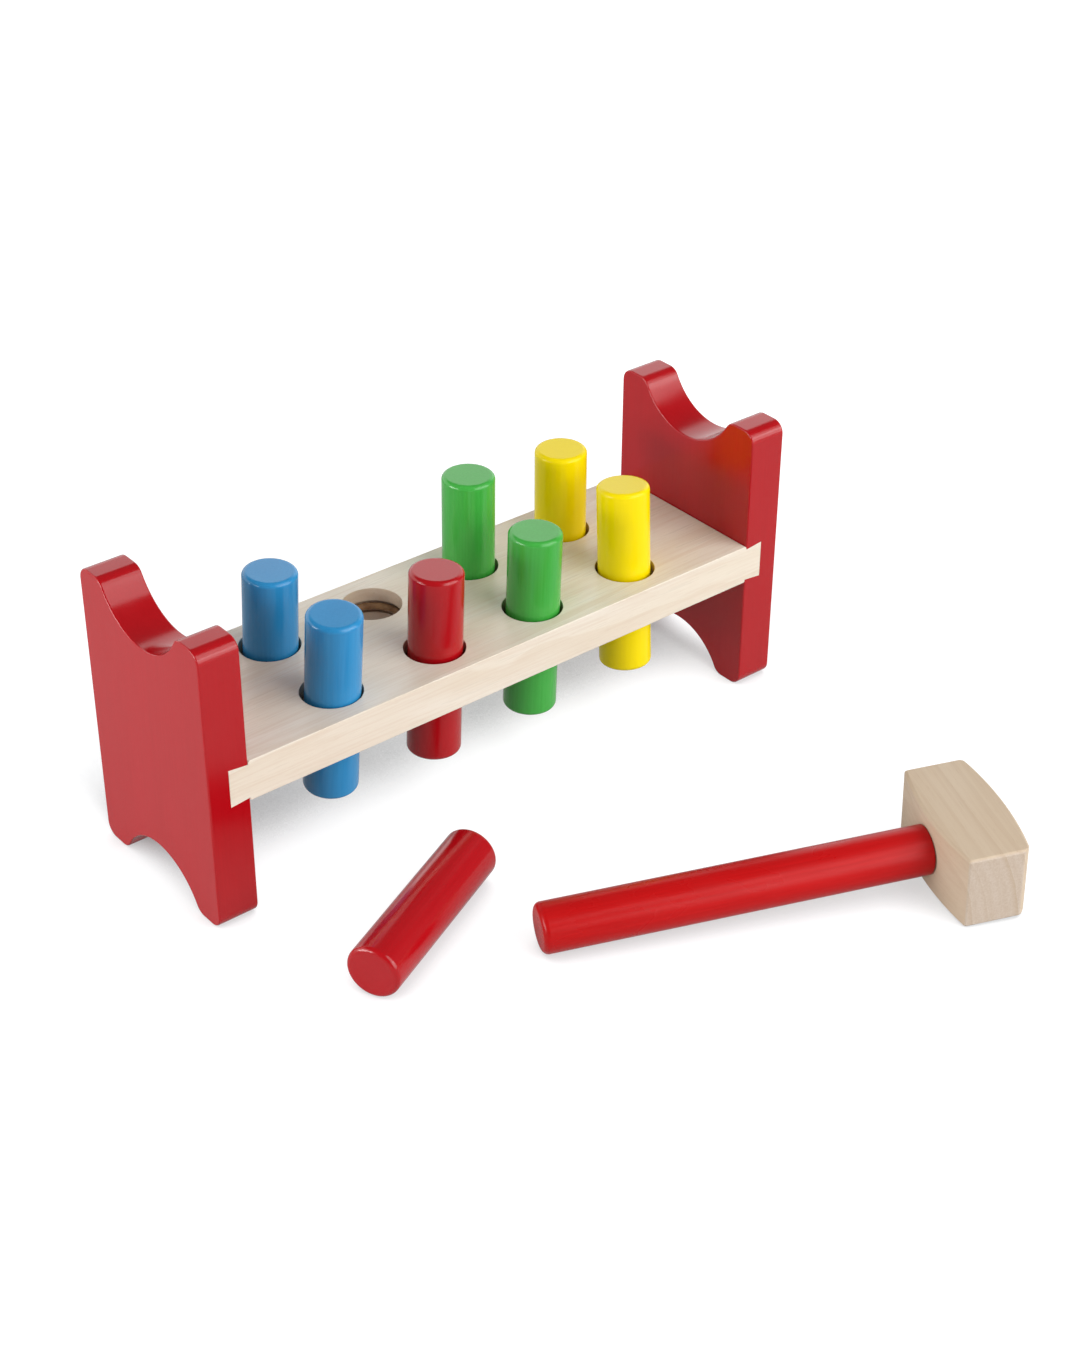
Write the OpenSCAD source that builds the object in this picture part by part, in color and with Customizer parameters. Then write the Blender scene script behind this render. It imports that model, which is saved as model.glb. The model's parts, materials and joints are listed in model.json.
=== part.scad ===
// Peg pounding bench: two painted end boards, a drilled plank housed between them on sliding
// dovetails, a grip ring in every hole, eight round pegs and a mallet.
// Millimetres, +Z up, floor at Z = 0, X along the bench, -Y towards the front.
// The origin is on the floor under the middle of the whole set, mallet and loose peg included.

/* [Bench] */
// Overall length of the bench
bench_length = 292; // [270:1:330]
// Width of the bench, front to back
bench_width = 83; // [80:1:96]
// Height of the end boards
board_height = 126; // [120:0.5:140]
// Thickness of the end boards
board_thickness = 18; // [15:0.5:22]
// Thickness of the plank
plank_thickness = 18; // [15:0.5:22]

/* [End boards] */
// Width of the scoop at the top and of the arch at the bottom
scoop_width = 53; // [46:1:58]
// Depth of the scoop and of the arch
scoop_depth = 17; // [14:0.5:22]
// Radius of the outer corners of horns and feet
corner_radius = 5.5; // [3:0.5:7]
// Radius that eases the scoop into the flat tops and feet
lip_radius = 5.5; // [2:0.5:6]

/* [Sliding dovetail] */
// How far the plank's tail reaches into an end board
tail_depth = 8.7; // [6:0.1:11]
// Slope of the tail's cheeks, in degrees
tail_angle = 6; // [3:0.5:9]
// Shoulder cut from each face of the plank at the neck of the tail
neck_shoulder = 1.5; // [1.2:0.1:3]
// Glue line all round the tail
glue_gap = 0.1; // [0.05:0.05:0.2]

/* [Peg holes] */
// Diameter of the peg holes
hole_diameter = 25.4; // [24.8:0.1:27]
// Height of the groove inside each hole
groove_height = 5.8; // [5.4:0.1:7]
// Distance between neighbouring holes along the plank
hole_pitch = 50.6; // [48:0.1:52]
// Distance between the front and the back row
row_spacing = 43; // [40:0.1:45]

/* [Grip rings] */
// Thickness of the round section of a ring
ring_section = 3.2; // [2.6:0.1:3.6]
// Running clearance between a ring and its peg
grip_clearance = 0.05; // [0.03:0.01:0.1]
// Clearance between a ring and the floor of its groove
ring_seat_gap = 0.05; // [0.05:0.01:0.2]

/* [Pegs] */
// Diameter of the pegs
peg_diameter = 22.5; // [21:0.1:23.4]
// Length of the pegs
peg_length = 83; // [78:0.5:92]
// Radius that rounds the pegs' ends
peg_end_radius = 2; // [1:0.25:4]

/* [Mallet head] */
// Length of the head between its striking faces
head_length = 63.5; // [54:0.5:70]
// Thickness of the head
head_thickness = 32.5; // [28:0.5:38]
// Height of the head from the middle of its handle side to the ends of its crown
head_height = 29; // [26:0.5:32]
// Rise of the crowned back of the head
head_crown = 3.25; // [2:0.25:5]
// Bulge of the side that the handle enters
head_belly = 3.5; // [1.5:0.25:4.5]
// Chamfer along the head's upper and lower edges
head_chamfer = 1; // [0.75:0.25:1.5]
// Bevel of the two upright corners beside the crown
head_corner_bevel = 2.5; // [1.5:0.25:4]

/* [Mallet handle] */
// Diameter of the handle
handle_diameter = 20.5; // [17:0.5:24]
// Length of the handle outside the head
handle_length = 158.75; // [140:0.25:180]
// Radius that rounds the handle's tip
handle_tip_radius = 2.5; // [1:0.25:4]
// Radius that eases the handle's shoulder against the head
handle_shoulder_radius = 0.8; // [0.4:0.1:1.5]
// Diameter of the tenon inside the head
tenon_diameter = 14; // [10:0.5:15]
// Length of the tenon
tenon_length = 19; // [14:0.5:20]
// Space left at the blind end of the tenon's bore
bore_spare_length = 0.6; // [0.3:0.1:1]

/* [Layout] */
// Heading of the mallet's handle towards its head, in degrees from X
mallet_heading = -23.5; // [-40:0.5:-10]
// Place of the mallet's resting edge along the bench, from the bench's middle
mallet_x = 88.4; // [70:0.1:100]
// Place of the mallet's resting edge in front of the bench's middle
mallet_front = 190.8; // [180:0.1:230]
// Heading of the loose peg, in degrees from X
loose_peg_heading = 25.5; // [0:0.5:30]
// Place of the loose peg along the bench, to the left of its middle
loose_peg_left = 85.5; // [60:0.5:90]
// Place of the loose peg in front of the bench's middle
loose_peg_front = 92; // [90:0.5:96]

/* [Hidden] */

$fn = 96;

// Rows and columns of the peg holes, front row first
front = 0;
back = 1;
row_side = [-1, 1];
blue = 0;
red = 1;
green = 2;
yellow = 3;
column_count = 4;

// Part of each peg that stands above the plank, as a share of its length
rise_shares = [[0.445, 0.424, 0.427, 0.456],
               [0.417, 0, 0.522, 0.469]];
// Lean of each peg, as a share of what its ring allows
lean_shares = [[0.92, 0.53, 0.34, 0.92],
               [0.5, 0, 0.1, 0]];
// Heading of each lean from X, as a share of a full turn
lean_turn_shares = [[-0.219, 0.027, -0.048, 0.205],
                    [-0.106, 0, -0.106, 0]];
full_turn = 360;

// Overrun of the cutting shapes past what they cut
overrun = board_thickness / 6;

// Bench
board_inner_x = bench_length / 2 - board_thickness;
plank_mid_z = board_height / 2;

// Scoop: its circle, and the small circles that ease it into the flats
scoop_radius = (pow(scoop_width / 2, 2) + pow(scoop_depth, 2)) / (2 * scoop_depth);
scoop_centre_z = board_height - scoop_depth + scoop_radius;
lip_z = board_height - lip_radius;
lip_y = sqrt(pow(scoop_radius + lip_radius, 2) - pow(scoop_centre_z - lip_z, 2));
lip_touch = scoop_radius / (scoop_radius + lip_radius);

// Holes, rings and pegs
peg_radius = peg_diameter / 2;
ring_inner_radius = peg_radius + grip_clearance;
ring_middle_radius = ring_inner_radius + ring_section / 2;
groove_radius = ring_inner_radius + ring_section + ring_seat_gap;
ring_lean_limit = asin((groove_height - ring_section) / 2 / groove_radius);

// Mallet head: circles of its crowned back and of its bulging handle side
crown_radius = (pow(head_length / 2, 2) + pow(head_crown, 2)) / (2 * head_crown);
crown_centre_x = head_height + head_crown - crown_radius;
belly_radius = (pow(head_length / 2, 2) + pow(head_belly, 2)) / (2 * head_belly);

// The mallet rests on its head's lower edge and on the rounded tip of its handle
mallet_tilt = atan((head_thickness / 2 - handle_diameter / 2)
                   / (handle_length - handle_tip_radius + head_chamfer));
mallet_drop = head_chamfer * sin(mallet_tilt);

// The set reaches from the bench's back to the bevelled corner of the mallet's head
mallet_reach = mallet_front + cos(mallet_heading) * head_length / 2
               - sin(mallet_heading) * cos(mallet_tilt) * (head_height - head_corner_bevel);
bench_y = (mallet_reach - bench_width / 2) / 2;

function column_x(column) = (column - (column_count - 1) / 2) * hole_pitch;
function row_y(row) = bench_y + row_side[row] * row_spacing / 2;

// Puts a piece at the middle of one hole, leaning as that hole's peg does
module in_hole(row, column) {
    lean = lean_shares[row][column] * ring_lean_limit;
    heading = lean_turn_shares[row][column] * full_turn;
    translate([column_x(column), row_y(row), plank_mid_z])
        rotate(a = lean, v = [-sin(heading), cos(heading), 0])
            children();
}

// Extrudes an outline drawn in Y and Z along X, towards +X
module along_x(length) {
    rotate([90, 0, 90]) linear_extrude(height = length) children();
}

// Extrudes an outline drawn in X and Z along Y, to both sides of the middle
module along_y(length) {
    translate([0, length / 2, 0])
        rotate([90, 0, 0]) linear_extrude(height = length) children();
}

// Rectangle with round corners, centred
module round_rectangle(width, height, radius) {
    square([width - 2 * radius, height], center = true);
    square([width, height - 2 * radius], center = true);
    for (x = [-1, 1], y = [-1, 1])
        translate([x * (width / 2 - radius), y * (height / 2 - radius)])
            circle(r = radius);
}

// Scoop with the two corners that its lips round off
module scoop_cut() {
    translate([0, scoop_centre_z]) circle(r = scoop_radius);
    for (side = [-1, 1])
        polygon([[side * lip_y, lip_z],
                 [side * lip_y, board_height + overrun],
                 [side * scoop_width / 2, board_height + overrun],
                 [side * lip_y * lip_touch,
                  scoop_centre_z + (lip_z - scoop_centre_z) * lip_touch]]);
}

// Draws its children and their mirror image about the board's middle height
module top_and_bottom() {
    children();
    translate([0, board_height]) mirror([0, 1]) children();
}

// Outline of an end board in Y and Z
module board_outline() {
    difference() {
        translate([0, board_height / 2])
            round_rectangle(bench_width, board_height, corner_radius);
        top_and_bottom() scoop_cut();
    }
    top_and_bottom()
        for (side = [-1, 1])
            translate([side * lip_y, lip_z]) circle(r = lip_radius);
}

// Half heights of the tail at its neck and at its end; gap widens them into the housing
function neck_half(gap) = plank_thickness / 2 - neck_shoulder + gap;
function tail_half(gap) = neck_half(gap) + tail_depth * tan(tail_angle);

// Outline of the plank in X and Z, with a tail at each end
module plank_outline() {
    end_x = board_inner_x + tail_depth;
    corners = [[board_inner_x, plank_thickness / 2], [board_inner_x, neck_half(0)],
               [end_x, tail_half(0)], [end_x, -tail_half(0)],
               [board_inner_x, -neck_half(0)], [board_inner_x, -plank_thickness / 2]];
    polygon(concat(corners, [for (corner = corners) -corner]));
}

// Outline of the housing in X and Z, open towards the plank
module housing_outline() {
    end_x = board_inner_x + tail_depth + glue_gap;
    polygon([[board_inner_x - overrun, -neck_half(glue_gap)],
             [board_inner_x, -neck_half(glue_gap)],
             [end_x, -tail_half(glue_gap)], [end_x, tail_half(glue_gap)],
             [board_inner_x, neck_half(glue_gap)],
             [board_inner_x - overrun, neck_half(glue_gap)]]);
}

// Right-hand end board; the left one is its mirror image
module end_board() {
    color("firebrick")
        translate([0, bench_y, 0])
            difference() {
                translate([board_inner_x, 0, 0])
                    along_x(board_thickness) board_outline();
                translate([0, 0, plank_mid_z])
                    along_y(bench_width + overrun) housing_outline();
            }
}

module left_end_board() {
    mirror([1, 0, 0]) end_board();
}

module right_end_board() {
    end_board();
}

// Through hole with a groove for its ring at mid-thickness
module peg_hole() {
    cylinder(d = hole_diameter, h = plank_thickness + overrun, center = true);
    cylinder(r = groove_radius, h = groove_height, center = true);
}

module plank() {
    color("burlywood")
        difference() {
            translate([0, bench_y, plank_mid_z])
                along_y(bench_width) plank_outline();
            for (row = [front, back], column = [blue : yellow])
                translate([column_x(column), row_y(row), plank_mid_z]) peg_hole();
        }
}

// Rubber ring that grips a peg, as a torus seated in the groove
module grip_ring(row, column) {
    color("peru")
        in_hole(row, column)
            rotate_extrude()
                translate([ring_middle_radius, 0]) circle(d = ring_section, $fn = 32);
}

// Turned rod standing on its lower end, with both ends rounded
module round_rod(radius, length, lower_radius, upper_radius) {
    rotate_extrude() {
        translate([0, lower_radius])
            square([radius, length - lower_radius - upper_radius]);
        square([radius - lower_radius, lower_radius]);
        translate([0, length - upper_radius]) square([radius - upper_radius, upper_radius]);
        intersection() {
            translate([radius - lower_radius, lower_radius]) circle(r = lower_radius);
            square([radius, lower_radius]);
        }
        intersection() {
            translate([radius - upper_radius, length - upper_radius]) circle(r = upper_radius);
            translate([0, length - upper_radius]) square([radius, upper_radius]);
        }
    }
}

module peg() {
    round_rod(peg_radius, peg_length, peg_end_radius, peg_end_radius);
}

// Peg driven into one hole
module seated_peg(row, column, paint) {
    color(paint)
        in_hole(row, column)
            translate([0, 0, plank_thickness / 2 + (rise_shares[row][column] - 1) * peg_length])
                peg();
}

// Red peg lying on the floor in front of the bench
module loose_red_peg() {
    color("firebrick")
        translate([-loose_peg_left, bench_y - loose_peg_front, peg_radius])
            rotate([0, 90, loose_peg_heading])
                translate([0, 0, -peg_length / 2]) peg();
}

// Lays the mallet on the floor; in its own frame X runs along the handle towards the head
module laid_down() {
    translate([mallet_x, bench_y - mallet_front, -mallet_drop])
        rotate([0, -mallet_tilt, mallet_heading])
            children();
}

// What the two bevels beside the crown leave of the head in plan
module head_bevels() {
    side_y = head_length / 2 + overrun;
    back_x = head_height + head_crown + overrun;
    bevel_line = head_height + head_length / 2 - head_corner_bevel;
    polygon([[-2 * overrun, -side_y], [bevel_line - side_y, -side_y],
             [back_x, back_x - bevel_line], [back_x, bevel_line - back_x],
             [bevel_line - side_y, side_y], [-2 * overrun, side_y]]);
}

// Upright round block as thick as the head, with both rims chamfered
module chamfered_disc(radius) {
    rotate_extrude()
        polygon([[0, 0], [radius - head_chamfer, 0], [radius, head_chamfer],
                 [radius, head_thickness - head_chamfer],
                 [radius - head_chamfer, head_thickness], [0, head_thickness]]);
}

// Section of the head along its length, with its four corners chamfered
module head_section() {
    half = head_length / 2;
    polygon([[head_chamfer - half, 0], [half - head_chamfer, 0],
             [half, head_chamfer], [half, head_thickness - head_chamfer],
             [half - head_chamfer, head_thickness], [head_chamfer - half, head_thickness],
             [-half, head_thickness - head_chamfer], [-half, head_chamfer]]);
}

// Head without its bore
module head_block() {
    intersection() {
        translate([belly_radius, 0, 0]) chamfered_disc(belly_radius);
        translate([crown_centre_x, 0, 0]) chamfered_disc(crown_radius);
        translate([-overrun, 0, 0]) along_x(crown_radius) head_section();
        translate([0, 0, -overrun])
            linear_extrude(height = head_thickness + 2 * overrun) head_bevels();
    }
}

module mallet_head() {
    color("burlywood")
        laid_down()
            difference() {
                head_block();
                translate([-overrun, 0, head_thickness / 2])
                    rotate([0, 90, 0])
                        cylinder(d = tenon_diameter + 2 * glue_gap,
                                 h = overrun + tenon_length + bore_spare_length);
            }
}

// Turned handle with its tenon
module mallet_handle() {
    color("firebrick")
        laid_down()
            translate([-handle_length, 0, head_thickness / 2])
                rotate([0, 90, 0]) {
                    round_rod(handle_diameter / 2, handle_length,
                              handle_tip_radius, handle_shoulder_radius);
                    cylinder(d = tenon_diameter, h = handle_length + tenon_length);
                }
}

left_end_board();
right_end_board();
plank();
grip_ring(back, blue);  // blue_back_ring
grip_ring(back, red);  // red_back_ring
grip_ring(back, green);  // green_back_ring
grip_ring(back, yellow);  // yellow_back_ring
grip_ring(front, blue);  // blue_front_ring
grip_ring(front, red);  // red_front_ring
grip_ring(front, green);  // green_front_ring
grip_ring(front, yellow);  // yellow_front_ring
seated_peg(back, blue, "steelblue");  // blue_back_peg
seated_peg(back, green, "mediumseagreen");  // green_back_peg
seated_peg(back, yellow, "gold");  // yellow_back_peg
seated_peg(front, blue, "steelblue");  // blue_front_peg
seated_peg(front, red, "firebrick");  // red_front_peg
seated_peg(front, green, "mediumseagreen");  // green_front_peg
seated_peg(front, yellow, "gold");  // yellow_front_peg
loose_red_peg();
mallet_head();
mallet_handle();
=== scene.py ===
import bpy, bmesh, json, math
from mathutils import Euler, Matrix, Vector


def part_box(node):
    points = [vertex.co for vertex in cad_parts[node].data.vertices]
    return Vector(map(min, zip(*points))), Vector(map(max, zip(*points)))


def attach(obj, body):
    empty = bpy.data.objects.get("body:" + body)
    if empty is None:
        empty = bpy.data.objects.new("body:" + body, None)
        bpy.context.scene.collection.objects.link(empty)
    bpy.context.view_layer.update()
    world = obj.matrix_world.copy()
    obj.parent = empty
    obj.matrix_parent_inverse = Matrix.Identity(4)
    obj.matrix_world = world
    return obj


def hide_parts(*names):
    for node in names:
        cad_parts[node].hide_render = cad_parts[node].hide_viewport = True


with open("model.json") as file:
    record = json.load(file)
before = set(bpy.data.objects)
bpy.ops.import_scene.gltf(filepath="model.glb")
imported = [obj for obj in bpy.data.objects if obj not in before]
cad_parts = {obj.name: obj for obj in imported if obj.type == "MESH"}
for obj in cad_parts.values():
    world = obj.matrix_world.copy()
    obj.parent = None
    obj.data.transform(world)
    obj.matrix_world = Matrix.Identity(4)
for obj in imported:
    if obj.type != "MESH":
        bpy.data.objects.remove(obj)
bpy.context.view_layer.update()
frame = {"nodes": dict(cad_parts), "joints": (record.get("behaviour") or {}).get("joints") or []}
cadNodes = frame["nodes"]
slides = {joint["child"]: Vector(joint["axis"]) for joint in frame["joints"]}
print("frame loaded:", len(cadNodes), "nodes")

mm = 0.001
benchLow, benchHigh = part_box("plank")          # the plank gives the bench's middle and the joint's height
benchMiddle = (benchLow + benchHigh) / 2


# Small helpers

meshWork = {"mergeDistance": 0.002 * mm, "flatAngle": math.radians(0.2), "onSurface": 0.01 * mm,
            "sharpAngle": math.radians(30), "smoothAngle": math.radians(32), "flatWeight": 90}


def screenColour(red, green, blue):
    # values read off a screen, 0 to 255, made linear
    return [((c / 255 + 0.055) / 1.055) ** 2.4 for c in (red, green, blue)] + [1.0]


def onlySelect(piece):
    bpy.ops.object.select_all(action="DESELECT")
    piece.select_set(True)
    bpy.context.view_layer.objects.active = piece


def copyOfNode(node, name):
    # a CAD node's mesh is loose triangles, so the copy is merged and its flat faces joined up
    piece = bpy.data.objects.new(name, cadNodes[node].data.copy())
    bpy.context.collection.objects.link(piece)
    onlySelect(piece)
    bpy.ops.mesh.customdata_custom_splitnormals_clear()
    bpy.ops.object.mode_set(mode="EDIT")
    bpy.ops.mesh.select_all(action="SELECT")
    bpy.ops.mesh.remove_doubles(threshold=meshWork["mergeDistance"])
    bpy.ops.mesh.dissolve_limited(angle_limit=meshWork["flatAngle"])
    bpy.ops.mesh.select_all(action="DESELECT")
    bpy.ops.object.mode_set(mode="OBJECT")
    return piece


def easeEdges(piece, wanted, radius, steps):
    # bevels the sharp edges whose two ends pass the test
    onlySelect(piece)
    bpy.ops.object.mode_set(mode="EDIT")
    bpy.ops.mesh.select_mode(type="EDGE")
    bpy.ops.mesh.select_all(action="DESELECT")
    shape = bmesh.from_edit_mesh(piece.data)
    count = 0
    for edge in shape.edges:
        isSharp = edge.calc_face_angle(0.0) > meshWork["sharpAngle"]
        if isSharp and wanted(edge.verts[0].co, edge.verts[1].co):
            edge.select_set(True)
            count += 1
    bmesh.update_edit_mesh(piece.data)
    bpy.ops.mesh.bevel(offset=radius, segments=steps, profile=0.5, affect="EDGES", clamp_overlap=True)
    bpy.ops.object.mode_set(mode="OBJECT")
    return count


def finishShading(piece):
    # smooth over the eased edges, with the flats kept flat
    onlySelect(piece)
    bpy.ops.object.shade_smooth_by_angle(angle=meshWork["smoothAngle"])
    keepFlat = piece.modifiers.new("keepFlat", "WEIGHTED_NORMAL")
    keepFlat.keep_sharp = True
    keepFlat.weight = meshWork["flatWeight"]
    bpy.ops.object.modifier_apply(modifier=keepFlat.name)


def dress(piece, material):
    piece.data.materials.clear()
    piece.data.materials.append(material)


# Nodes, each made in one line

noiseRange = (0.3, 0.7)                        # nearly all of a noise's values lie between these


def link(tree, source, target):
    tree.links.new(source, target)


def maths(tree, operation, first, second=None, third=None):
    made = tree.nodes.new("ShaderNodeMath")
    made.operation = operation
    for index, value in enumerate((first, second, third)):
        if isinstance(value, (int, float)):
            made.inputs[index].default_value = value
        elif value is not None:
            link(tree, value, made.inputs[index])
    return made.outputs[0]


def stretched(tree, vector, scale):
    made = tree.nodes.new("ShaderNodeVectorMath")
    made.operation = "MULTIPLY"
    link(tree, vector, made.inputs[0])
    made.inputs[1].default_value = scale
    return made.outputs[0]


def lengthOf(tree, vector):
    made = tree.nodes.new("ShaderNodeVectorMath")
    made.operation = "LENGTH"
    link(tree, vector, made.inputs[0])
    return made.outputs["Value"]


def partsOf(tree, vector):
    made = tree.nodes.new("ShaderNodeSeparateXYZ")
    link(tree, vector, made.inputs[0])
    return made.outputs


def noise(tree, vector, scale, detail, roughness, distortion=0.0):
    made = tree.nodes.new("ShaderNodeTexNoise")
    link(tree, vector, made.inputs["Vector"])
    made.inputs["Scale"].default_value = scale
    made.inputs["Detail"].default_value = detail
    made.inputs["Roughness"].default_value = roughness
    made.inputs["Distortion"].default_value = distortion
    return made.outputs["Fac"]


def streaks(tree, vector, perMillimetre, detail, roughness, distortion=0.0):
    # a noise drawn out along the grain
    return noise(tree, stretched(tree, vector, perMillimetre), 1.0, detail, roughness, distortion)


def spread(tree, value, low, high, newLow=0.0, newHigh=1.0):
    made = tree.nodes.new("ShaderNodeMapRange")
    made.interpolation_type = "SMOOTHSTEP"
    link(tree, value, made.inputs["Value"])
    for label, number in (("From Min", low), ("From Max", high), ("To Min", newLow), ("To Max", newHigh)):
        made.inputs[label].default_value = number
    return made.outputs["Result"]


def mixColour(tree, amount, first, second):
    made = tree.nodes.new("ShaderNodeMix")
    made.data_type = "RGBA"
    for socket, value in ((made.inputs[0], amount), (made.inputs[6], first), (made.inputs[7], second)):
        if isinstance(value, (int, float, list, tuple)):
            socket.default_value = value
        else:
            link(tree, value, socket)
    return made.outputs[2]


# Node groups that several materials share; their vectors are in millimetres, with the grain along X

def newGroup(name, numbers, results):
    group = bpy.data.node_groups.new(name, "ShaderNodeTree")
    group.interface.new_socket(name="Vector", in_out="INPUT", socket_type="NodeSocketVector")
    for label, value in numbers.items():
        socket = group.interface.new_socket(name=label, in_out="INPUT", socket_type="NodeSocketFloat")
        socket.default_value = value
    for label in results:
        group.interface.new_socket(name=label, in_out="OUTPUT", socket_type="NodeSocketFloat")
    return group, group.nodes.new("NodeGroupInput"), group.nodes.new("NodeGroupOutput")


def sumOf(tree, *pairs):
    # adds up values, each times its share
    total = maths(tree, "MULTIPLY", *pairs[-1])
    for value, share in reversed(pairs[:-1]):
        total = maths(tree, "ADD", maths(tree, "MULTIPLY", value, share), total)
    return total


figureShape = {
    "ringWander": ((0.006, 0.030, 0.030), 3.0, 0.55),          # cycles per mm, detail, roughness
    "fibres": ((0.020, 0.7, 0.7), 5.0, 0.62),
    "clouds": ((0.010, 0.05, 0.05), 2.0, 0.5),
    "flecks": ((0.14, 3.2, 3.2), 2.0, 0.5), "fleckRange": (0.62, 0.76),
    "lateRise": (0.45, 0.93), "lateFall": (0.95, 1.0), "weakestRing": 0.35,
    "fibreHeight": 0.7, "ringHeight": 0.3, "fleckHeight": -0.35}


def makeWoodFigure(shape):
    # growth rings lie round the vector's X axis
    group, entry, leave = newGroup("woodFigure", {"Ring Spacing": 5.0, "Ring Wander": 6.0},
                                   ("Rings", "Bands", "Fibres", "Clouds", "Flecks", "Height"))
    vector = entry.outputs["Vector"]
    wander = maths(group, "SUBTRACT", streaks(group, vector, *shape["ringWander"]), 0.5)
    radius = maths(group, "ADD", lengthOf(group, stretched(group, vector, (0.0, 1.0, 1.0))),
                   maths(group, "MULTIPLY", wander, entry.outputs["Ring Wander"]))
    turn = maths(group, "DIVIDE", radius, entry.outputs["Ring Spacing"])
    tooth = maths(group, "FRACT", turn)
    late = spread(group, tooth, *shape["lateRise"])              # slow growth darkens towards a ring's edge
    rings = maths(group, "MULTIPLY", late, spread(group, tooth, *shape["lateFall"], 1.0, 0.0))
    fickle = group.nodes.new("ShaderNodeTexWhiteNoise")          # every ring has its own strength
    fickle.noise_dimensions = "1D"
    link(group, maths(group, "FLOOR", turn), fickle.inputs["W"])
    rings = maths(group, "MULTIPLY", rings,
                  spread(group, fickle.outputs["Value"], 0.0, 1.0, shape["weakestRing"], 1.0))
    wave = maths(group, "SINE", maths(group, "MULTIPLY", turn, 2 * math.pi))
    bands = maths(group, "MULTIPLY_ADD", wave, 0.5, 0.5)
    fibres = streaks(group, vector, *shape["fibres"])
    clouds = streaks(group, vector, *shape["clouds"])
    flecks = spread(group, streaks(group, vector, *shape["flecks"]), *shape["fleckRange"])
    height = sumOf(group, (fibres, shape["fibreHeight"]), (rings, shape["ringHeight"]),
                   (flecks, shape["fleckHeight"]))
    for label, value in (("Rings", rings), ("Bands", bands), ("Fibres", fibres), ("Clouds", clouds),
                         ("Flecks", flecks), ("Height", height)):
        link(group, value, leave.inputs[label])
    return group


filmShape = {
    "peel": (0.42, 2.0, 0.45), "nibs": (0.9, 0.0, 0.5),        # cycles per mm, detail, roughness
    "grain": ((0.030, 1.1, 1.1), 4.0, 0.6),
    "broad": ((0.010, 0.05, 0.05), 2.0, 0.5),
    "smear": ((0.02, 0.045, 0.045), 4.0, 0.6, 0.6),
    "nibRange": (0.80, 0.90), "nibHeight": 0.25, "grainShare": 0.55, "broadShare": 0.45}


def makePaintFilm(shape):
    # a sprayed gloss film over sanded wood: orange peel, grain that shows through, and a few dust nibs
    group, entry, leave = newGroup("paintFilm", {"Peel": 0.5, "Telegraph": 0.5},
                                   ("Tone", "Smear", "Height"))
    vector = entry.outputs["Vector"]
    peel = noise(group, vector, *shape["peel"])
    grain = streaks(group, vector, *shape["grain"])
    broad = streaks(group, vector, *shape["broad"])
    smear = streaks(group, vector, *shape["smear"])
    nibs = spread(group, noise(group, vector, *shape["nibs"]), *shape["nibRange"])
    tone = sumOf(group, (grain, shape["grainShare"]), (broad, shape["broadShare"]))
    height = sumOf(group, (peel, entry.outputs["Peel"]), (grain, entry.outputs["Telegraph"]),
                   (nibs, shape["nibHeight"]))
    for label, value in (("Tone", tone), ("Smear", smear), ("Height", height)):
        link(group, value, leave.inputs[label])
    return group


woodFigure = makeWoodFigure(figureShape)
paintFilm = makePaintFilm(filmShape)
print("node groups made")


# Materials

def startMaterial(name):
    material = bpy.data.materials.new(name)
    material.use_nodes = True
    tree = material.node_tree
    return material, tree, tree.nodes["Principled BSDF"]


def objectPlace(tree):
    return tree.nodes.new("ShaderNodeTexCoord").outputs["Object"]


def grainVector(tree, place, turn):
    # Object coordinates laid along the piece's grain and given in millimetres
    mapping = tree.nodes.new("ShaderNodeMapping")
    mapping.vector_type = "TEXTURE"
    mapping.inputs["Location"].default_value = place
    mapping.inputs["Rotation"].default_value = turn
    mapping.inputs["Scale"].default_value = (mm, mm, mm)
    link(tree, objectPlace(tree), mapping.inputs["Vector"])
    return mapping.outputs["Vector"]


def useGroup(tree, group, vector, values):
    made = tree.nodes.new("ShaderNodeGroup")
    made.node_tree = group
    link(tree, vector, made.inputs["Vector"])
    for label, value in values.items():
        made.inputs[label].default_value = value
    return made.outputs


def finishSurface(tree, shader, colour, gloss, glossFrom, height, look):
    link(tree, colour, shader.inputs["Base Color"])
    link(tree, spread(tree, glossFrom, *noiseRange, *gloss), shader.inputs["Roughness"])
    bump = tree.nodes.new("ShaderNodeBump")
    bump.inputs["Strength"].default_value = look["bump"]
    bump.inputs["Distance"].default_value = look["bumpDepth"]
    link(tree, height, bump.inputs["Height"])
    link(tree, bump.outputs["Normal"], shader.inputs["Normal"])
    shader.inputs["IOR"].default_value = look["ior"]


def glossPaint(name, look, place, turn):
    material, tree, shader = startMaterial(name)
    film = useGroup(tree, paintFilm, grainVector(tree, place, turn),
                    {"Peel": look["peel"], "Telegraph": look["telegraph"]})
    colour = mixColour(tree, spread(tree, film["Tone"], *noiseRange), look["deep"], look["bright"])
    finishSurface(tree, shader, colour, look["gloss"], film["Smear"], film["Height"], look)
    return material


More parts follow.
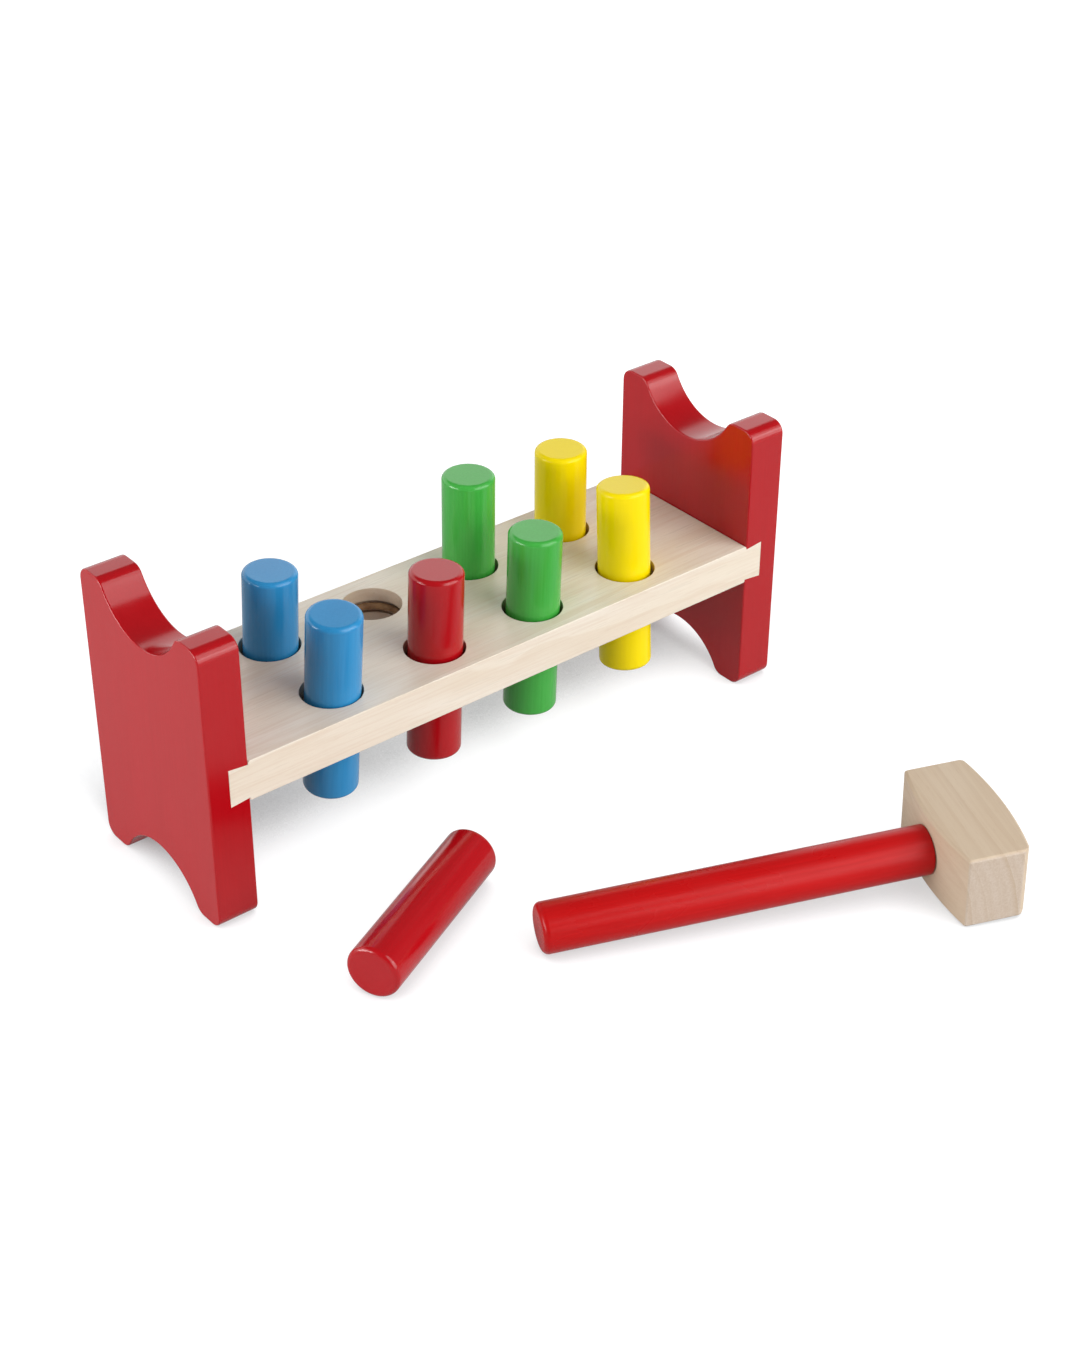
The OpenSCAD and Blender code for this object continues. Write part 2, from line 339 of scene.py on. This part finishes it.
def bareWood(name, look, place, turn):
    material, tree, shader = startMaterial(name)
    vector = grainVector(tree, place, turn)
    figure = useGroup(tree, woodFigure, vector,
                      {"Ring Spacing": look["ringSpacing"], "Ring Wander": look["ringWander"]})
    colour = mixColour(tree, spread(tree, figure["Clouds"], *noiseRange), look["pale"], look["warm"])
    fibres = spread(tree, figure["Fibres"], *look["fibreRange"])
    for kind, amount in (("ring", figure["Rings"]), ("fibre", fibres), ("fleck", figure["Flecks"])):
        share = maths(tree, "MULTIPLY", amount, look[kind + "Strength"])
        colour = mixColour(tree, share, colour, look[kind])
    if "endReach" in look:                                       # end grain in broad bands, with pores
        reach = maths(tree, "ABSOLUTE", partsOf(tree, vector)["X"])
        onEnd = spread(tree, reach, *(look["endReach"] - inset for inset in look["endFade"]))
        lines = sumOf(tree, (figure["Bands"], look["endBands"]), (figure["Rings"], look["endRings"]))
        bands = mixColour(tree, lines, look["endPink"], look["endTan"])
        pores = spread(tree, noise(tree, vector, *look["poreGrain"]), *noiseRange, 0.0, look["endPores"])
        colour = mixColour(tree, onEnd, colour, mixColour(tree, pores, bands, look["fleck"]))
    if "boreSpan" in look:                                       # walls of the bored holes drawn in a darker tan
        place = partsOf(tree, objectPlace(tree))
        inside = look["boreStrength"]
        for axis, middle, half in look["boreSpan"]:
            offset = maths(tree, "ABSOLUTE", maths(tree, "SUBTRACT", place[axis], middle))
            inside = maths(tree, "MULTIPLY", inside,
                           spread(tree, offset, half - look["boreFade"], half, 1.0, 0.0))
        colour = mixColour(tree, inside, colour, look["boreTan"])
    finishSurface(tree, shader, colour, look["gloss"], figure["Fibres"], figure["Height"], look)
    return material


def gumRubber(name, look):
    material, tree, shader = startMaterial(name)
    vector = grainVector(tree, (0, 0, 0), (0, 0, 0))
    cloud = spread(tree, noise(tree, vector, *look["clouds"]), *look["cloudRange"])
    speck = noise(tree, vector, *look["specks"])
    colour = mixColour(tree, cloud, look["dark"], look["pale"])
    finishSurface(tree, shader, colour, look["gloss"], speck, speck, look)
    return material


def turnOf(direction):
    # Euler turn that lays the grain's X axis along a direction
    return Vector((1, 0, 0)).rotation_difference(Vector(direction).normalized()).to_euler()


redPaint = {
    "deep": screenColour(172, 5, 16), "bright": screenColour(179, 8, 20),
    "gloss": (0.15, 0.21), "ior": 1.47,
    "peel": 0.35, "telegraph": 0.06, "bump": 0.05, "bumpDepth": 0.25 * mm}
bluePaint = dict(
    redPaint, deep=screenColour(40, 136, 194), bright=screenColour(48, 145, 202), telegraph=0.12)
greenPaint = dict(
    redPaint, deep=screenColour(62, 166, 62), bright=screenColour(70, 176, 72), telegraph=0.12)
yellowPaint = dict(
    redPaint, deep=screenColour(246, 219, 0), bright=screenColour(249, 224, 2), telegraph=0.12, ior=1.3)


# End boards: edges eased as by sandpaper, the dovetail housing left crisp

endBoard = {"edgeRadius": 0.7 * mm, "edgeSteps": 3, "housingHalfHeight": 9 * mm, "paint": redPaint,
            "grainInset": 0.010, "grainDepth": 0.02, "grainHeight": 0.06}

for side, outerX in (("left", -1), ("right", 1)):
    low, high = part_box(side + "_end_board")
    outerFace, innerFace = (low.x, high.x) if outerX < 0 else (high.x, low.x)
    board = copyOfNode(side + "_end_board", side + "EndBoard")

    def onOutline(a, b):
        onOuter = all(abs(c.x - outerFace) < meshWork["onSurface"] for c in (a, b))
        onInner = all(abs(c.x - innerFace) < meshWork["onSurface"] for c in (a, b))
        atHousing = all(abs(c.z - benchMiddle.z) < endBoard["housingHalfHeight"] for c in (a, b))
        return onOuter or (onInner and not atHousing)

    eased = easeEdges(board, onOutline, endBoard["edgeRadius"], endBoard["edgeSteps"])
    finishShading(board)
    grainPlace = ((low.x + high.x) / 2 - endBoard["grainInset"] * outerX,
                  low.y + endBoard["grainDepth"], endBoard["grainHeight"])
    dress(board, glossPaint(side + "BoardPaint", endBoard["paint"], grainPlace, turnOf((0, 0, 1))))
    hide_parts(side + "_end_board")
    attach(board, "bench")
    print(side, "end board:", eased, "edges eased")


# Plank: long edges and hole rims eased a little, clear finish over pale wood

plankLook = {
    "edgeRadius": 0.6 * mm, "rimRadius": 0.35 * mm, "rimReach": 13 * mm, "edgeSteps": 2,
    "pithPlace": (0.02, 0.030, -0.065), "pithTurn": (0, 0.01, 0.02),
    "pale": screenColour(239, 230, 216), "warm": screenColour(235, 223, 205),
    "ring": screenColour(218, 197, 171), "ringStrength": 0.32, "ringSpacing": 7.0, "ringWander": 26.0,
    "fibre": screenColour(220, 200, 178), "fibreStrength": 0.42, "fibreRange": (0.42, 0.68),
    "fleck": screenColour(200, 172, 142), "fleckStrength": 0.22,
    "gloss": (0.26, 0.36), "ior": 1.45, "bump": 0.16, "bumpDepth": 0.3 * mm,
    "boreSpan": [("Z", benchMiddle.z, 8.9 * mm), ("Y", benchMiddle.y, 38 * mm)], "boreFade": 0.3 * mm,
    "boreTan": screenColour(196, 165, 132), "boreStrength": 0.55}

plank = copyOfNode("plank", "pegPlank")
holes = []
for name in cadNodes:
    if name.endswith("_ring"):
        low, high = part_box(name)
        holes.append(Vector(((low.x + high.x) / 2, (low.y + high.y) / 2, 0)))


def near(value, *places):
    return min(abs(value - place) for place in places) < meshWork["onSurface"]


def onFaces(a, b):
    return all(near(c.z, benchLow.z, benchHigh.z) for c in (a, b))


def longEdge(a, b):
    return onFaces(a, b) and all(near(c.y, benchLow.y, benchHigh.y) for c in (a, b))


def holeRim(a, b):
    middle = (a + b) / 2
    nearest = min((Vector((middle.x, middle.y, 0)) - hole).length for hole in holes)
    return onFaces(a, b) and nearest < plankLook["rimReach"]


easedLong = easeEdges(plank, longEdge, plankLook["edgeRadius"], plankLook["edgeSteps"])
easedRims = easeEdges(plank, holeRim, plankLook["rimRadius"], plankLook["edgeSteps"])
finishShading(plank)
plankPith = Vector((0, benchMiddle.y, benchMiddle.z)) + Vector(plankLook["pithPlace"])
dress(plank, bareWood("plankWood", plankLook, plankPith, plankLook["pithTurn"]))
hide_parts("plank")
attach(plank, "bench")
print("plank:", easedLong, "long edges and", easedRims, "rim edges eased")


# Grip rings: soft gum rubber, a little dusty

ringLook = {"pale": screenColour(170, 132, 92), "dark": screenColour(128, 92, 58),
            "clouds": (0.18, 3.0, 0.6), "cloudRange": (0.35, 0.65), "specks": (1.6, 2.0, 0.5),
            "gloss": (0.55, 0.75), "ior": 1.5, "bump": 0.2, "bumpDepth": 0.1 * mm}

ringRubber = gumRubber("ringRubber", ringLook)
for name, ring in cadNodes.items():
    if name.endswith("_ring"):
        dress(ring, ringRubber)
print("grip rings dressed")


# Pegs: each has its own grain, laid along the peg

pegs = {"looseHeading": math.radians(25.5), "grainStart": (0.004, 0, 0), "grainStep": (0.001, -0.003, 0.02),
        "blue": bluePaint, "red": redPaint, "green": greenPaint, "yellow": yellowPaint}

for index, name in enumerate(sorted(n for n in cadNodes if n.endswith("_peg"))):
    low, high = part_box(name)
    if name == "loose_red_peg":
        colour = "red"
        along = Vector((math.cos(pegs["looseHeading"]), math.sin(pegs["looseHeading"]), 0))
    else:
        colour = name.split("_")[0]
        along = slides[name]
    place = (low + high) / 2 + Vector(pegs["grainStart"]) + Vector(pegs["grainStep"]) * index
    dress(cadNodes[name], glossPaint(name + "Paint", pegs[colour], place, turnOf(along)))
print("pegs painted")


# Mallet: bare head with sanded edges and a clear finish, painted handle

mallet = {"heading": math.radians(-23.5), "tilt": math.radians(2.185), "pith": (-0.078, 0.0, -0.020),
          "cornerRadius": 1.3 * mm, "cornerSteps": 4, "edgeRadius": 0.35 * mm, "edgeSteps": 2,
          "boreReach": 12 * mm, "uprightShare": 0.5}
malletTurn = Euler((0, -mallet["tilt"], mallet["heading"])).to_matrix()
handleWay, across, headUp = (malletTurn @ Vector(axis) for axis in ((1, 0, 0), (0, 1, 0), (0, 0, 1)))
reaches = [across.dot(vertex.co) for vertex in cadNodes["mallet_head"].data.vertices]
headLow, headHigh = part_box("mallet_head")
headMiddle = (headLow + headHigh) / 2
headMiddle += across * ((min(reaches) + max(reaches)) / 2 - across.dot(headMiddle))
handleLow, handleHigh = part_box("mallet_handle")
handleMiddle = (handleLow + handleHigh) / 2

headLook = {
    "pale": screenColour(208, 189, 165), "warm": screenColour(203, 182, 156),
    "ring": screenColour(182, 154, 127), "ringStrength": 0.28, "ringSpacing": 6.3, "ringWander": 5.0,
    "fibre": screenColour(198, 174, 148), "fibreStrength": 0.50, "fibreRange": (0.42, 0.68),
    "fleck": screenColour(170, 139, 108), "fleckStrength": 0.36,
    "endReach": (max(reaches) - min(reaches)) / 2 / mm, "endFade": (0.7, 0.1),
    "endBands": 0.40, "endRings": 0.8,
    "endPink": screenColour(208, 193, 179), "endTan": screenColour(193, 172, 150),
    "endPores": 0.30, "poreGrain": (1.3, 4.0, 0.65),
    "gloss": (0.42, 0.55), "ior": 1.45, "bump": 0.2, "bumpDepth": 0.3 * mm}
handlePaint = dict(
    redPaint, deep=screenColour(180, 8, 10), bright=screenColour(194, 14, 16), telegraph=0.25,
    gloss=(0.24, 0.36), bump=0.08, ior=1.30)


def awayFromBore(a, b):
    # edges of the head that aren't at the mouth or in the depth of its bore
    aside = [(c - handleMiddle) - handleWay * handleWay.dot(c - handleMiddle) for c in (a, b)]
    return all(offset.length > mallet["boreReach"] for offset in aside)


def uprightCorner(a, b):
    return awayFromBore(a, b) and abs((b - a).normalized().dot(headUp)) > mallet["uprightShare"]


head = copyOfNode("mallet_head", "malletHead")
easedHead = easeEdges(head, uprightCorner, mallet["cornerRadius"], mallet["cornerSteps"])
easedHead += easeEdges(head, awayFromBore, mallet["edgeRadius"], mallet["edgeSteps"])
finishShading(head)
headPith = headMiddle + malletTurn @ Vector(mallet["pith"])
headFrame = Matrix((across, -handleWay, across.cross(-handleWay))).transposed().to_euler()
dress(head, bareWood("malletHeadWood", headLook, headPith, headFrame))
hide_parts("mallet_head")
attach(head, "mallet")
dress(cadNodes["mallet_handle"],
      glossPaint("malletHandlePaint", handlePaint, handleMiddle, turnOf(handleWay)))
print("mallet dressed:", easedHead, "edges of its head eased")


# Studio floor: white paper that whitens outwards, with soft shadows painted into its camera-seen brightness
# by ambient occlusion under what stands on it

studioFloor = {
    "size": 12, "roughness": 0.9, "specular": 0.1,
    "tone": (0.48, 0.49, 0.49, 1), "toneSeen": (0.29, 0.30, 0.31, 1), "forGloss": 0.2,
    "liftSpan": (0.20, 0.55), "lift": (0.89, 1.1), "shadowRays": 8,
    # contact and shade: how far and how dark the painted shadows reach
    "contact": {"reach": 0.022, "open": (0.25, 0.80), "dark": 0.62, "from": (0.0, 0.0, 1.0)},
    "shade": {"reach": 0.12, "open": (0.45, 0.80), "dark": 0.28, "from": (0.05, -0.87, 0.49)},
    "shadeDepth": (0.008, 0.058), "shadeSide": (0.132, 0.148)}

bpy.ops.object.select_all(action="DESELECT")
bpy.ops.mesh.primitive_plane_add(size=studioFloor["size"], location=(0, 0, 0))
floor = bpy.context.object
floor.name = "studioFloor"
floorMaterial, tree, shader = startMaterial("studioFloorPaper")
shader.inputs["Roughness"].default_value = studioFloor["roughness"]
shader.inputs["Specular IOR Level"].default_value = studioFloor["specular"]
floorPlace = objectPlace(tree)
whiteningAndPaintedShadow = spread(tree, lengthOf(tree, floorPlace), *studioFloor["liftSpan"], *studioFloor["lift"])
# each kind paints a soft shadow into the floor's whitening, from ambient occlusion
for kind in ("contact", "shade"):
    look = studioFloor[kind]
    around = tree.nodes.new("ShaderNodeAmbientOcclusion")
    around.samples = studioFloor["shadowRays"]
    around.inputs["Distance"].default_value = look["reach"]
    lean = tree.nodes.new("ShaderNodeCombineXYZ")                # linked, because a plain value is ignored
    for axis, value in zip("XYZ", look["from"]):
        lean.inputs[axis].default_value = value
    link(tree, lean.outputs["Vector"], around.inputs["Normal"])
    paintedShadowOpenness = spread(tree, around.outputs["AO"], *look["open"], look["dark"], 1.0)
    if kind == "shade":                                          # painted shadow, only under and behind the bench
        place = partsOf(tree, floorPlace)
        inDepth = spread(tree, place["Y"], *(benchLow.y + depth for depth in studioFloor["shadeDepth"]))
        inWidth = spread(tree, maths(tree, "ABSOLUTE", place["X"]), *studioFloor["shadeSide"], 1.0, 0.0)
        byBench = maths(tree, "MULTIPLY", inDepth, inWidth)
        paintedShadowOpenness = maths(tree, "MULTIPLY_ADD", byBench, maths(tree, "SUBTRACT", paintedShadowOpenness, 1.0), 1.0)
    whiteningAndPaintedShadow = maths(tree, "MULTIPLY", whiteningAndPaintedShadow, paintedShadowOpenness)
path = tree.nodes.new("ShaderNodeLightPath").outputs
link(tree, mixColour(tree, path["Is Camera Ray"], studioFloor["tone"], studioFloor["toneSeen"]),
     shader.inputs["Base Color"])
shiny = maths(tree, "MAXIMUM", path["Is Glossy Ray"], path["Is Transmission Ray"])
seen = maths(tree, "MULTIPLY_ADD", path["Is Camera Ray"], whiteningAndPaintedShadow,
             maths(tree, "MULTIPLY", shiny, studioFloor["forGloss"]))
lift = tree.nodes.new("ShaderNodeEmission")
link(tree, seen, lift.inputs["Strength"])
both = tree.nodes.new("ShaderNodeAddShader")
link(tree, shader.outputs["BSDF"], both.inputs[0])
link(tree, lift.outputs["Emission"], both.inputs[1])
link(tree, both.outputs["Shader"], tree.nodes["Material Output"].inputs["Surface"])
dress(floor, floorMaterial)
print("floor laid")


# Surroundings: even and white, with a bright wall behind that only shows in gloss

surroundings = {"forLight": 0.425, "forGloss": 0.15, "wallForGloss": 1.65,
                "wallSide": (-0.10, 0.30), "wallTop": (0.56, 0.68)}

world = bpy.data.worlds.new("whiteSurroundings")
bpy.context.scene.world = world
world.use_nodes = True
tree = world.node_tree
background = tree.nodes["Background"]
background.inputs["Color"].default_value = (1, 1, 1, 1)
direction = partsOf(tree, tree.nodes.new("ShaderNodeTexCoord").outputs["Generated"])
wall = maths(tree, "MULTIPLY", spread(tree, direction["Y"], *surroundings["wallSide"]),
             spread(tree, direction["Z"], *surroundings["wallTop"], 1.0, 0.0))
reflected = maths(tree, "MULTIPLY_ADD", wall, surroundings["wallForGloss"] - surroundings["forGloss"],
                  surroundings["forGloss"])
path = tree.nodes.new("ShaderNodeLightPath").outputs
shiny = maths(tree, "MAXIMUM", path["Is Glossy Ray"], path["Is Transmission Ray"])
dull = maths(tree, "SUBTRACT", maths(tree, "SUBTRACT", 1.0, shiny), path["Is Camera Ray"])
strength = maths(tree, "MULTIPLY_ADD", dull, surroundings["forLight"],
                 maths(tree, "MULTIPLY", shiny, reflected))
link(tree, maths(tree, "ADD", strength, path["Is Camera Ray"]), background.inputs["Strength"])


# Soft boxes: a low and a high one in front on the right, and one on the left behind

lampAim = Vector((0, 0.02, 0.06))
softBoxes = {"key": {"power": 15.3, "place": (0.61, -1.37, 0.52), "size": (2.0, 0.8)},
             "fill": {"power": 14.2, "place": (-1.40, 0.35, 0.30), "size": (1.0, 0.5)},
             "top": {"power": 11.0, "place": (0.55, -1.0, 1.05), "size": (1.4, 1.0)}}

for kind, box in softBoxes.items():
    light = bpy.data.lights.new(kind + "SoftBox", "AREA")
    light.shape = "RECTANGLE"
    light.size, light.size_y = box["size"]
    light.energy = box["power"]
    lamp = bpy.data.objects.new(kind + "SoftBox", light)
    bpy.context.collection.objects.link(lamp)
    lamp.location = box["place"]
    lamp.rotation_euler = (lampAim - Vector(box["place"])).to_track_quat("-Z", "Y").to_euler()
    lamp.visible_camera = False
print("studio lit")


# Camera, fitted to the bench's straight edges in the photograph

cameraView = {"azimuth": -39.50, "elevation": 33.05, "roll": 0.354, "distance": 1.0443,
              "target": (0.0474, benchMiddle.y, benchHigh.z - 0.05401),
              "lens": 63.84, "sensorWidth": 36}

turn, rise, roll = (math.radians(cameraView[label]) for label in ("azimuth", "elevation", "roll"))
backward = Vector((math.sin(turn) * math.cos(rise), -math.cos(turn) * math.cos(rise), math.sin(rise)))
right = Vector((math.cos(turn), math.sin(turn), 0))
up = backward.cross(right)
rolledRight = right * math.cos(roll) + up * math.sin(roll)
rolledUp = up * math.cos(roll) - right * math.sin(roll)
lens = bpy.data.cameras.new("photoCamera")
lens.sensor_width = cameraView["sensorWidth"]
lens.lens = cameraView["lens"]
viewer = bpy.data.objects.new("photoCamera", lens)
bpy.context.collection.objects.link(viewer)
viewer.location = Vector(cameraView["target"]) + backward * cameraView["distance"]
viewer.rotation_euler = Matrix((rolledRight, rolledUp, backward)).transposed().to_euler()
bpy.context.scene.camera = viewer
bpy.context.scene.view_settings.view_transform = "Standard"
print("camera placed")
